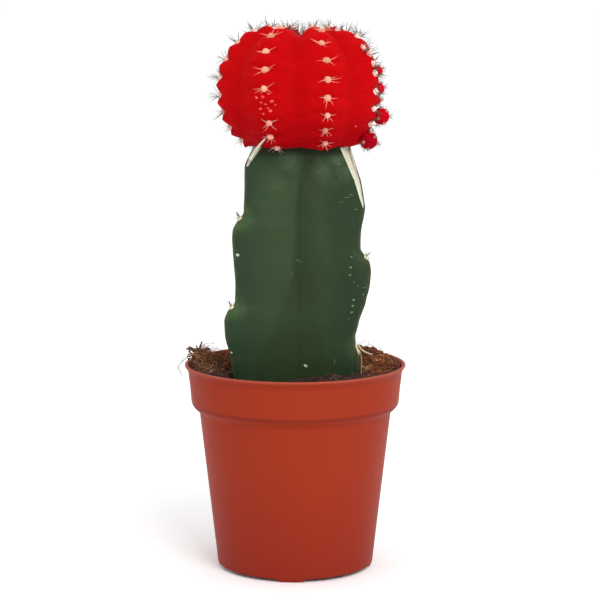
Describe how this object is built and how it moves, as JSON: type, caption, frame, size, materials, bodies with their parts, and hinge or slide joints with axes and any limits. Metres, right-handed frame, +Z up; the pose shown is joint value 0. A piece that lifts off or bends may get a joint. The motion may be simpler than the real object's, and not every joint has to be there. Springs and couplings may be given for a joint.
{
  "type": "potted moon cactus",
  "caption": "Red ribbed cactus ball with pups, grafted on a three-ribbed green stock, in potting mix in a small plastic nursery pot.",
  "frame": {"origin": "centre of the pot's foot on the surface that it stands on", "axes": "+Z up along the pot's axis; the picture's front faces -Y"},
  "size_m": [0.065, 0.065, 0.1624],
  "materials": {
    "pot": "terracotta-coloured moulded polypropylene, satin",
    "soil": "reddish-brown peat and coir potting mix, dry and fibrous",
    "rootstock": "dark green waxy cactus stem",
    "scion": "bright red waxy cactus flesh with cream woolly areoles"
  },
  "bodies": {
    "root": {"pot": "pot", "soil": "soil", "rootstock": "rootstock", "scion": "scion"}
  },
  "joints": []
}
